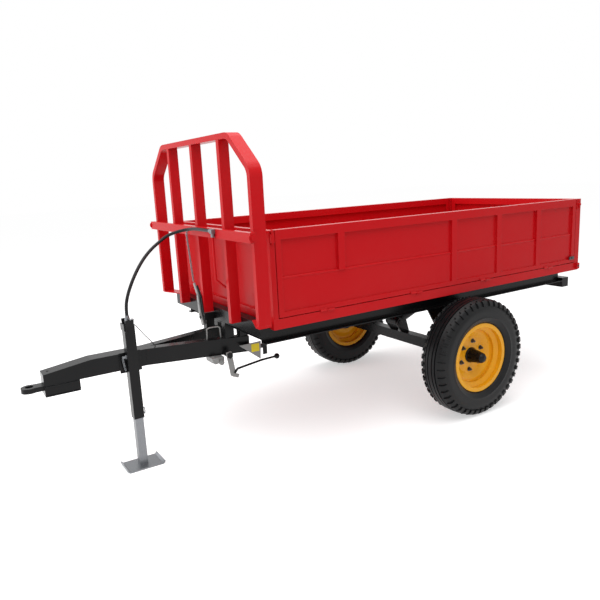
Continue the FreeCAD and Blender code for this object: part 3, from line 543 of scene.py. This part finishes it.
def wheel_nuts(name, rim, body, outward):
    low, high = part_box(rim)
    centre = (low + high) / 2
    disc_x = centre.x - outward * DISC_INSET
    bm = bmesh.new()
    for i in range(NUTS):
        turn = math.tau * (i + FIRST_NUT) / NUTS
        y = centre.y + NUT_CIRCLE * math.cos(turn)
        z = centre.z + NUT_CIRCLE * math.sin(turn)
        reached = disc_x
        for length, radius, end_radius, sides in NUT_STACK:
            start = (reached, y, z)
            reached += outward * length
            round_bar(bm, start, (reached, y, z), radius, end_radius, sides)
    steel_piece(name, bm, dark_steel, body, edge=0.0008)


wheel_nuts("wheel_nuts_left", "rim_left", "wheel_left", 1.0)
wheel_nuts("wheel_nuts_right", "rim_right", "wheel_right", -1.0)

# ---- hydraulic hose ------------------------------------------------------------------------
# Two-wire rubber hose with its coupling parked on the jack's lid; it rises in
# its own stiff arc and runs along the headboard's rail into a union.
HOSE_DIAMETER = 0.018
HOSE_ROUTE = [
    (0.0840, -1.3225, 0.8620), (0.0840, -1.3225, 0.9160), (0.0810, -1.3085, 0.9700),
    (0.0740, -1.2845, 1.0220), (0.0580, -1.2515, 1.0740), (0.0350, -1.2125, 1.1220),
    (0.0060, -1.1675, 1.1640), (-0.0250, -1.1145, 1.2020), (-0.0500, -1.0545, 1.2350),
    (-0.0530, -1.0140, 1.2610), (-0.0440, -0.9670, 1.2770), (-0.0190, -0.9260, 1.2880),
    (0.0200, -0.8980, 1.2940), (0.0750, -0.8860, 1.2980), (0.1880, -0.8860, 1.2970),
    (0.3000, -0.8860, 1.2970),
]
hose_data = bpy.data.curves.new("hose", "CURVE")
hose_data.dimensions = "3D"
hose_data.bevel_depth = HOSE_DIAMETER / 2
hose_data.bevel_resolution = 5
hose_data.resolution_u = 10
hose_data.use_fill_caps = True
hose_line = hose_data.splines.new("NURBS")
hose_line.points.add(len(HOSE_ROUTE) - 1)
for point, place in zip(hose_line.points, HOSE_ROUTE):
    point.co = (*place, 1.0)
hose_line.order_u = 3
hose_line.use_endpoint_u = True
hose_data.materials.append(hose_rubber)
hose = bpy.data.objects.new("hose", hose_data)
bpy.context.scene.collection.objects.link(hose)
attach(hose, "chassis")
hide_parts("hydraulic_hose")

# ---- hose fittings ---------------------------------------------------------------------------
# Zinc-plated quick coupling parked on the jack's lid, and a steel union on the
# headboard's rail; from it a thin red painted pipe runs down to the chassis.
JACK_X, JACK_Y, LID_TOP = 0.0840, -1.3225, 0.8203
# Height of each step above the lid, radius at both its ends, and sides.
COUPLING_STEPS = [(0.834, 0.0165, 0.0165, 6), (0.838, 0.0115, 0.0115, 20),
                  (0.855, 0.0142, 0.0142, 28), (0.870, 0.0125, 0.0105, 20)]
RAIL_FACE = -0.8758
HOSE_LINE_Y, HOSE_LINE_Z = -0.886, 1.297
UNION_MIDDLE = 0.312
UNION_HALF = 0.012
UNION_HEIGHT = 1.295
PIPE_RADIUS = 0.006
PIPE_ROUTE = [(UNION_MIDDLE, HOSE_LINE_Y, 1.270), (UNION_MIDDLE, HOSE_LINE_Y, 1.033),
              (UNION_MIDDLE, -0.7605, 0.923), (UNION_MIDDLE, -0.7605, 0.825)]


def block(bm, low, high):
    """A square block between two corners."""
    low, high = Vector(low), Vector(high)
    place = Matrix.Translation((low + high) / 2) @ Matrix.Diagonal((*(high - low), 1.0))
    bmesh.ops.create_cube(bm, size=1.0, matrix=place)


def flat_bar(bm, start, end, width, thickness, side=(0, 1, 0)):
    """A flat bar between two points; side is the way its thickness runs."""
    start, end = Vector(start), Vector(end)
    thin = Vector(side).normalized()
    wide = (end - start).normalized().cross(thin).normalized()
    place = Matrix((end - start, wide * width, thin * thickness)).transposed().to_4x4()
    place.translation = (start + end) / 2
    bmesh.ops.create_cube(bm, size=1.0, matrix=place)


def bent_rod(bm, route, radius, sides=12):
    """Round rod through a row of points, rounded where it bends."""
    for start, end in zip(route, route[1:]):
        round_bar(bm, start, end, radius, sides=sides)
    for bend in route[1:-1]:
        bmesh.ops.create_uvsphere(bm, u_segments=sides, v_segments=8, radius=radius,
                                  matrix=Matrix.Translation(bend))


fittings = bmesh.new()
base = LID_TOP
for top, radius, top_radius, sides in COUPLING_STEPS:
    round_bar(fittings, (JACK_X, JACK_Y, base), (JACK_X, JACK_Y, top), radius, top_radius, sides)
    base = top
union_left = UNION_MIDDLE - UNION_HALF
union_foot = UNION_HEIGHT - UNION_HALF
block(fittings, (union_left, HOSE_LINE_Y - UNION_HALF, union_foot),
      (UNION_MIDDLE + UNION_HALF, RAIL_FACE, UNION_HEIGHT + UNION_HALF))
round_bar(fittings, (union_left - 0.022, HOSE_LINE_Y, HOSE_LINE_Z), (union_left, HOSE_LINE_Y, HOSE_LINE_Z),
          0.0125, sides=6)
round_bar(fittings, (UNION_MIDDLE, HOSE_LINE_Y, union_foot - 0.019), (UNION_MIDDLE, HOSE_LINE_Y, union_foot),
          0.0105, sides=6)
coupling = steel_piece("hose_couplings", fittings, zinc_plate, "chassis", edge=0.0012)
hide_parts("hose_fittings")
pipe = bmesh.new()
bent_rod(pipe, PIPE_ROUTE, PIPE_RADIUS, sides=16)
steel_piece("rail_pipe", pipe, red_enamel, "chassis")

# ---- jack's head -----------------------------------------------------------------------------
# Black cheeks folded out round the sleeve's top, a zinc release knob beside the
# coupling, a spring clip at the sleeve's foot and a thin wire to the drawbar.
CHEEK_OUT = 0.0302  # middle of a cheek from the middle of the sleeve
CHEEK_THICK = 0.004
STUD_Y, STUD_Z = JACK_Y - 0.020, 0.785
KNOB_X, KNOB_Y = JACK_X + 0.018, -1.302
RELEASE_WIRE = [(0.062, -1.300, 0.822), (0.052, -1.272, 0.800), (0.040, -1.226, 0.735),
                (0.031, -1.190, 0.690), (0.026, -1.165, 0.6545)]
CLIP_Y = -1.292
CLIP_BENDS = [(-0.034, 0.312), (0.036, 0.312), (0.042, 0.330), (0.034, 0.345), (0.004, 0.336)]
PIN_Z = 0.640
cheeks = bmesh.new()
for side in (-1, 1):
    face = JACK_X + side * CHEEK_OUT
    flat_bar(cheeks, (face, JACK_Y, 0.755), (face, JACK_Y, 0.816), 0.050, CHEEK_THICK, side=(1, 0, 0))
    flat_bar(cheeks, (face, JACK_Y, 0.814), (face + side * 0.010, JACK_Y, 0.850), 0.046, CHEEK_THICK,
             side=(1, 0, 0))
    round_bar(cheeks, (face, STUD_Y, STUD_Z), (face + side * 0.0095, STUD_Y, STUD_Z), 0.007)
block(cheeks, (JACK_X - 0.034, JACK_Y - 0.0325, 0.792), (JACK_X + 0.034, JACK_Y - 0.0283, 0.830))
bent_rod(cheeks, RELEASE_WIRE, 0.0022)
steel_piece("jack_cheeks", cheeks, black_enamel, "chassis", edge=0.001)
jack_trim = bmesh.new()
round_bar(jack_trim, (KNOB_X, KNOB_Y, 0.820), (KNOB_X, KNOB_Y, 0.838), 0.006)
bmesh.ops.create_uvsphere(jack_trim, u_segments=16, v_segments=10, radius=0.0095,
                          matrix=Matrix.Translation((KNOB_X, KNOB_Y, 0.844)))
bent_rod(jack_trim, [(JACK_X + across, CLIP_Y, height) for across, height in CLIP_BENDS], 0.0030, sides=10)
round_bar(jack_trim, (JACK_X, -1.352, PIN_Z), (JACK_X, -1.372, PIN_Z), 0.0075)
round_bar(jack_trim, (JACK_X, -1.3505, PIN_Z), (JACK_X, -1.3545, PIN_Z), 0.0125, sides=6)
steel_piece("jack_clips", jack_trim, zinc_plate, "chassis", edge=0.0005)

# ---- safety chain ------------------------------------------------------------------------------
# Short-link galvanised chain of 4.4 mm wire, hung from the headboard's rail down
# to the brake's lever; each link is turned a quarter from the last. A short
# length of the same chain hangs from the jack's pin.
LINK_WIRE = 0.0022
LINK_BEND = 0.0046
LINK_STRAIGHT = 0.0044
HANG_X, HANG_Y = -0.070, -0.8840


def chain(bm, start, end):
    start, end = Vector(start), Vector(end)
    single = bmesh.new()
    ring = bmesh.ops.create_circle(single, segments=8, radius=LINK_WIRE,
                                   matrix=Matrix.Translation((LINK_BEND, 0, 0)))
    bmesh.ops.spin(single, geom=ring["verts"] + single.edges[:], cent=(0, 0, 0), axis=(0, 1, 0),
                   angle=math.tau, steps=12, use_merge=True)
    for point in single.verts:
        if abs(point.co.z) > 0.0001:
            point.co.z += math.copysign(LINK_STRAIGHT, point.co.z)
    link_mesh = bpy.data.meshes.new("one_link")
    single.to_mesh(link_mesh)
    single.free()
    pitch = 2 * (LINK_STRAIGHT + LINK_BEND - LINK_WIRE)
    count = round((end - start).length / pitch)
    lie = (end - start).to_track_quat("Z", "Y").to_matrix().to_4x4()
    for i in range(count):
        done = len(bm.verts)
        bm.from_mesh(link_mesh)
        bm.verts.ensure_lookup_table()
        middle = start.lerp(end, (i + 0.5) / count)
        place = Matrix.Translation(middle) @ lie @ Matrix.Rotation(math.pi / 2 * (i % 2), 4, "Z")
        bmesh.ops.transform(bm, matrix=place, verts=bm.verts[done:])
    bpy.data.meshes.remove(link_mesh)


links = bmesh.new()
chain(links, (HANG_X, HANG_Y, 1.2600), (-0.093, -0.8570, 0.9740))
chain(links, (JACK_X, -1.3700, 0.6330), (0.078, -1.3600, 0.5650))
steel_piece("safety_chain", links, zinc_plate, "chassis")
hanger = bmesh.new()
bent_rod(hanger, [(HANG_X, -0.8750, 1.275), (HANG_X, HANG_Y, 1.272), (HANG_X, HANG_Y, 1.256)], 0.003)
steel_piece("chain_hook", hanger, zinc_plate, "chassis")

# ---- parking brake -------------------------------------------------------------------------------
# Grey painted flat-bar lever in front of the headboard, a black toothed strip
# behind it, its pivot on the front beam, and a bent wire guard on the drawbar.
LEVER_Y, LEVER_THICK = -0.857, 0.008
# Start, end and width of each length of the lever, as x and height.
LEVER_LENGTHS = [((-0.086, 0.962), (-0.041, 0.898), 0.020), ((-0.043, 0.902), (-0.037, 0.844), 0.024),
                 ((-0.038, 0.848), (-0.027, 0.778), 0.026), ((-0.029, 0.782), (0.004, 0.722), 0.028)]
GUARD_WIRE = [(0.100, -0.880, 0.6545), (0.100, -0.877, 0.715), (0.104, -0.860, 0.722),
              (0.112, -0.810, 0.722), (0.114, -0.801, 0.715), (0.114, -0.798, 0.6545)]
STRIP = [(-0.062, -0.850, 0.946), (-0.021, -0.850, 0.892), (-0.012, -0.850, 0.835),
         (-0.001, -0.850, 0.774), (0.022, -0.850, 0.728)]
STRIP_WIDTH, STRIP_THICK = 0.026, 0.005
TEETH = 12
BEAM_FACE = -0.7873
lever = bmesh.new()
for (x0, z0), (x1, z1), width in LEVER_LENGTHS:
    flat_bar(lever, (x0, LEVER_Y, z0), (x1, LEVER_Y, z1), width, LEVER_THICK)
bent_rod(lever, GUARD_WIRE, 0.004)
steel_piece("brake_lever", lever, grey_enamel, "chassis", edge=0.0012)
ratchet = bmesh.new()
for start, end in zip(STRIP, STRIP[1:]):
    flat_bar(ratchet, start, end, STRIP_WIDTH, STRIP_THICK)
for i in range(TEETH):
    tooth = Vector(STRIP[1]).lerp(Vector(STRIP[3]), i / (TEETH - 1)) + Vector((0.008, 0.0, 0.0))
    flat_bar(ratchet, tooth, tooth + Vector((0.011, 0.0, 0.003)), 0.005, STRIP_THICK)
round_bar(ratchet, (-0.018, -0.866, 0.765), (-0.018, BEAM_FACE, 0.765), 0.010)
block(ratchet, (0.000, -0.852, 0.752), (0.024, BEAM_FACE, 0.790))
steel_piece("brake_ratchet", ratchet, black_enamel, "chassis", edge=0.0006)

# ---- brake linkage -----------------------------------------------------------------------------
# Behind the drawbar's left arm: a grey cast bracket and arm on a black pivot, a
# three-cornered guard plate with a blank label, and a pull rod with a ball end.
ARM_X, ARM_THICK = 0.226, 0.010
GUARD_THICK = 0.006
GUARD_CORNERS = [(0.217, -0.735, 0.614), (0.217, -0.592, 0.617), (0.217, -0.600, 0.508)]
PIVOT_Y, PIVOT_Z = -0.802, 0.572
# Where each roller turns in y and height, its outer end, radius and sides.
ROLLERS = [(-0.876, 0.545, 0.202, 0.019, 28), (-0.842, 0.530, 0.206, 0.015, 28),
           (-0.842, 0.530, 0.214, 0.008, 6)]
PULL_ROUTE = [(0.236, -0.782, 0.462), (0.236, -0.762, 0.486), (0.230, -0.600, 0.503),
              (0.230, -0.505, 0.506)]
guard = bmesh.new()
sheet = bmesh.ops.contextual_create(guard, geom=[guard.verts.new(corner) for corner in GUARD_CORNERS])
grown = bmesh.ops.extrude_face_region(guard, geom=sheet["faces"])
bmesh.ops.translate(guard, vec=(GUARD_THICK, 0, 0),
                    verts=[part for part in grown["geom"] if isinstance(part, bmesh.types.BMVert)])
flat_bar(guard, (ARM_X, -0.806, 0.592), (ARM_X, -0.786, 0.450), 0.034, ARM_THICK, side=(1, 0, 0))
flat_bar(guard, (ARM_X, -0.792, 0.454), (ARM_X, -0.754, 0.438), 0.022, 0.012, side=(1, 0, 0))
block(guard, (0.100, -0.895, 0.532), (0.190, -0.820, 0.5603))
for y, z, outer_end, radius, sides in ROLLERS:
    round_bar(guard, (0.150, y, z), (outer_end, y, z), radius, sides=sides)
steel_piece("brake_guard", guard, grey_enamel, "chassis", edge=0.002)
pull = bmesh.new()
bent_rod(pull, PULL_ROUTE, 0.0065)
bmesh.ops.create_uvsphere(pull, u_segments=24, v_segments=14, radius=0.017,
                          matrix=Matrix.Translation((0.230, -0.495, 0.506)))
block(pull, (0.172, -0.690, 0.576), (0.2168, -0.655, 0.610))
block(pull, (0.205, -0.575, 0.528), (0.213, -0.548, 0.592))
block(pull, (0.186, -0.660, 0.570), (0.212, -0.550, 0.590))
round_bar(pull, (0.150, PIVOT_Y, PIVOT_Z), (0.236, PIVOT_Y, PIVOT_Z), 0.015)
round_bar(pull, (0.231, PIVOT_Y, PIVOT_Z), (0.239, PIVOT_Y, PIVOT_Z), 0.019, sides=6)
steel_piece("brake_pull_rod", pull, black_enamel, "chassis", edge=0.001)
# The second colour, along the edges, is a painted highlight.
label_yellow = enamel(
    "label_yellow", (0.860, 0.680, 0.030, 1.0), (0.88, 0.72, 0.08, 1.0), (0.42, 0.36, 0.20, 1.0),
    rough=0.35, specular=0.2, coat=0.0, dust=0.08, edge_radius=0.0008, ripple=130.0)
label = bmesh.new()
block(label, (0.2229, -0.658, 0.560), (0.2238, -0.606, 0.608))
steel_piece("blank_label", label, label_yellow, "chassis")

# ---- drawbar fittings ----------------------------------------------------------------------------
# Rolled lips along the eye's holder, its two hexagon bolts from below, and a thin dark disc near the front of
# the nose, painted shade standing for a small drain hole.
HOLDER_FRONT, HOLDER_BACK, HOLDER_FOOT = -1.7735, -1.6000, 0.5012
LIP_FEET = (0.5015, 0.5510)
LIP_HEIGHT = 0.006
LIP_INNER, LIP_OUTER = 0.0495, 0.0560
BOLT_PLACES = (-1.735, -1.640)
lips = bmesh.new()
for side in (-1, 1):
    inner, outer = sorted((side * LIP_INNER, side * LIP_OUTER))
    for foot in LIP_FEET:
        block(lips, (inner, HOLDER_FRONT, foot), (outer, HOLDER_BACK, foot + LIP_HEIGHT))
steel_piece("holder_lips", lips, black_enamel, "chassis", edge=0.0012)
bolts = bmesh.new()
for y in BOLT_PLACES:
    round_bar(bolts, (0, y, HOLDER_FOOT), (0, y, 0.489), 0.0125, sides=6)
steel_piece("holder_bolts", bolts, dark_steel, "chassis", edge=0.0008)
# A thin dark disc: painted shade where the drain hole is.
drain_shade_disc = bmesh.new()
round_bar(drain_shade_disc, (0.0, -1.742, 0.6262), (0.0, -1.742, 0.6270), 0.0085)
steel_piece("drain_hole_shade", drain_shade_disc, pad_rubber, "chassis")

# ---- headboard's rail ends -------------------------------------------------------------------------
# Round red collars on the two ends of the rail that runs across the
# headboard.
COLLAR_RADIUS = 0.0235
COLLAR_INNER, COLLAR_OUTER = 0.726, 0.732
RAIL_Y, RAIL_Z = -0.8605, 1.283
collars = bmesh.new()
for side in (-1, 1):
    round_bar(collars, (side * COLLAR_INNER, RAIL_Y, RAIL_Z), (side * COLLAR_OUTER, RAIL_Y, RAIL_Z),
              COLLAR_RADIUS, sides=32)
steel_piece("rail_collars", collars, red_enamel, "chassis", edge=0.0008)

# ---- bed trim --------------------------------------------------------------------------------------
# A pressed bead along the step in each drop side; on the corner posts painted latches, a latch plate, and a
# square lug at each rear corner with a thin dark disc on it, painted shade standing for its hole.
SIDE_FACE = 0.637
POST_FACE = SIDE_FACE - 0.0002
BEAD_X, BEAD_Z, BEAD_RADIUS = 0.6225, 1.050, 0.0075
STILE = 0.034  # width of the side frame's upright at each end of the bead
REAR_PIN_Y, REAR_PIN_Z = 1.831, 1.262
FRONT_PIN_Y = -0.711
HOLE_Y, HOLE_Z = 1.837, 0.815


def side_block(bm, side, near, far, low, high):
    """A block on one side of the bed; low and high are corners in y and height."""
    inner, outer = sorted((side * near, side * far))
    block(bm, (inner, *low), (outer, *high))


for side, node in ((1, "side_left"), (-1, "side_right")):
    low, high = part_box(node)
    line_x = side * BEAD_X
    bead = bmesh.new()
    round_bar(bead, (line_x, low.y + STILE, BEAD_Z), (line_x, high.y - STILE, BEAD_Z), BEAD_RADIUS)
    steel_piece("bead_" + node, bead, red_enamel, node)
    catch = bmesh.new()
    side_block(catch, side, SIDE_FACE, SIDE_FACE + 0.007, (1.742, 0.868), (1.796, 0.890))
    round_bar(catch, (side * SIDE_FACE, 1.770, 0.879), (side * (SIDE_FACE + 0.012), 1.770, 0.879),
              0.0070, sides=6)
    steel_piece("catch_" + node, catch, dark_steel, node, edge=0.0008)
latches = bmesh.new()
lugs = bmesh.new()
hole_shade_discs = bmesh.new()
for side in (-1, 1):
    side_block(lugs, side, POST_FACE, 0.6410, (1.812, 1.228), (1.850, 1.290))
    side_block(lugs, side, POST_FACE, 0.6520, (1.822, 0.794), (1.852, 0.836))
    side_block(lugs, side, POST_FACE, 0.6520, (-0.7215, 1.238), (-0.7000, 1.282))
    # A thin dark disc on each rear lug: painted shade for the lug's hole.
    round_bar(hole_shade_discs, (side * 0.6515, HOLE_Y, HOLE_Z), (side * 0.6526, HOLE_Y, HOLE_Z), 0.0085)
    round_bar(latches, (side * 0.640, REAR_PIN_Y, REAR_PIN_Z), (side * 0.652, REAR_PIN_Y, REAR_PIN_Z), 0.0080)
    round_bar(latches, (side * 0.646, REAR_PIN_Y, REAR_PIN_Z), (side * 0.646, REAR_PIN_Y, 1.232), 0.0035)
    round_bar(latches, (side * 0.645, FRONT_PIN_Y, 1.228), (side * 0.645, FRONT_PIN_Y, 1.296), 0.0050)
    bmesh.ops.create_uvsphere(latches, u_segments=16, v_segments=10, radius=0.0085,
                              matrix=Matrix.Translation((side * 0.645, FRONT_PIN_Y, 1.298)))
steel_piece("post_latches", latches, red_enamel, "bed", edge=0.0004)
steel_piece("post_lugs", lugs, red_enamel, "bed", edge=0.001)
steel_piece("lug_hole_shades", hole_shade_discs, pad_rubber, "bed")
